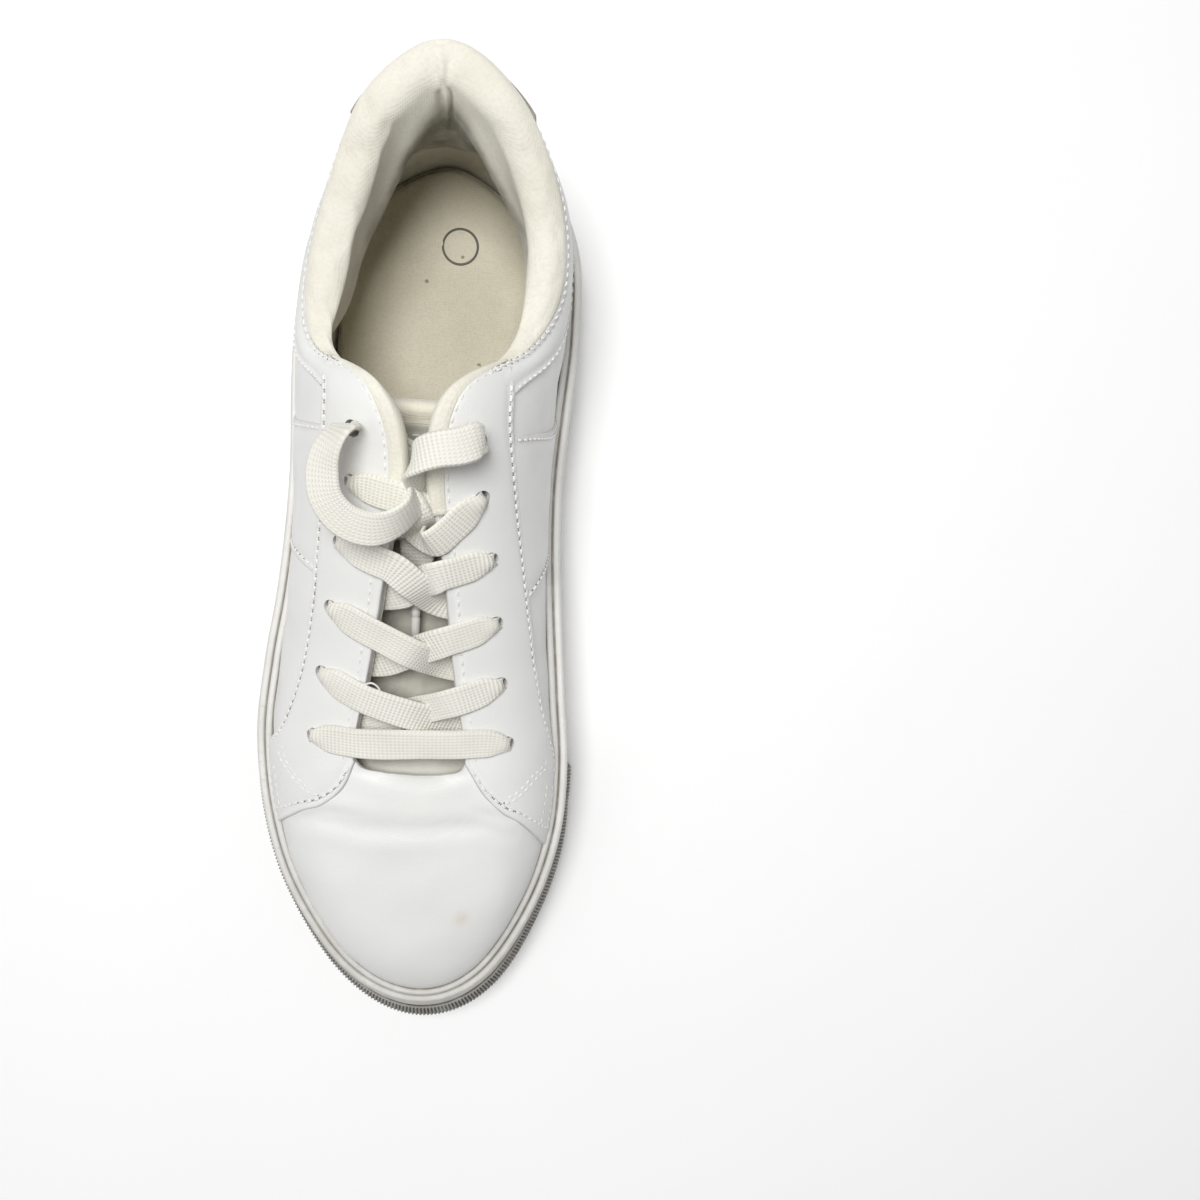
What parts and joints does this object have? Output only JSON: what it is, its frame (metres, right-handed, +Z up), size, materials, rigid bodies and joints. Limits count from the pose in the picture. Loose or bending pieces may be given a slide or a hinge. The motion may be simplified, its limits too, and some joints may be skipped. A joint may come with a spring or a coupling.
{
  "type": "court shoe",
  "caption": "Low-cut leather court shoe with padded collar, punched facings, flat lace, hinged tongue, ribbed toe band and herringbone rubber cup sole",
  "frame": {"origin": "on the ground under the middle of the shoe's box", "axes": "+Y to the heel, -Y to the toe, +X to the inner side of the foot, +Z up"},
  "size_m": [0.1022, 0.2856, 0.095],
  "materials": {
    "white_leather": "smooth coated leather with fine creases",
    "beige_leather": "soft nubuck, slightly worn",
    "lining": "brushed knit textile, slightly soiled",
    "sockliner": "linen weave over foam, worn",
    "foam": "open foam",
    "board": "pressed fibre board",
    "sidewall_rubber": "matte moulded rubber, scuffed",
    "bumper_rubber": "matte rubber with fine ribs",
    "tread_rubber": "matte herringbone tread, soiled",
    "lace": "flat tubular weave",
    "aglet": "clear film wrapped tip"
  },
  "bodies": {
    "shoe": {"outsole": "tread_rubber", "midsole": "foam", "insole_board": "board", "sockliner": "sockliner", "foxing": "sidewall_rubber", "toe_bumper": "bumper_rubber", "vamp": "white_leather", "quarter_front_lateral": "white_leather", "quarter_rear_lateral": "white_leather", "eyestay_lateral": "white_leather", "side_band_lateral": "white_leather", "collar_panel_lateral": "white_leather", "quarter_lining_lateral": "lining", "quarter_front_medial": "white_leather", "quarter_rear_medial": "white_leather", "eyestay_medial": "white_leather", "side_band_medial": "white_leather", "collar_panel_medial": "white_leather", "quarter_lining_medial": "lining", "heel_tab": "beige_leather", "heel_counter": "board", "toe_puff": "board", "vamp_lining": "lining", "collar_lining": "lining", "collar_foam": "foam", "lace": "lace", "aglet_medial": "aglet", "aglet_lateral": "aglet"},
    "tongue": {"tongue_face": "white_leather", "tongue_foam": "foam", "tongue_lining": "lining"}
  },
  "joints": [
    {"name": "tongue_hinge", "type": "hinge", "parent": "shoe", "child": "tongue", "pos_m": [0.004, -0.057, 0.0469], "axis": [1, 0, 0], "range_deg": [-9, 0]}
  ]
}
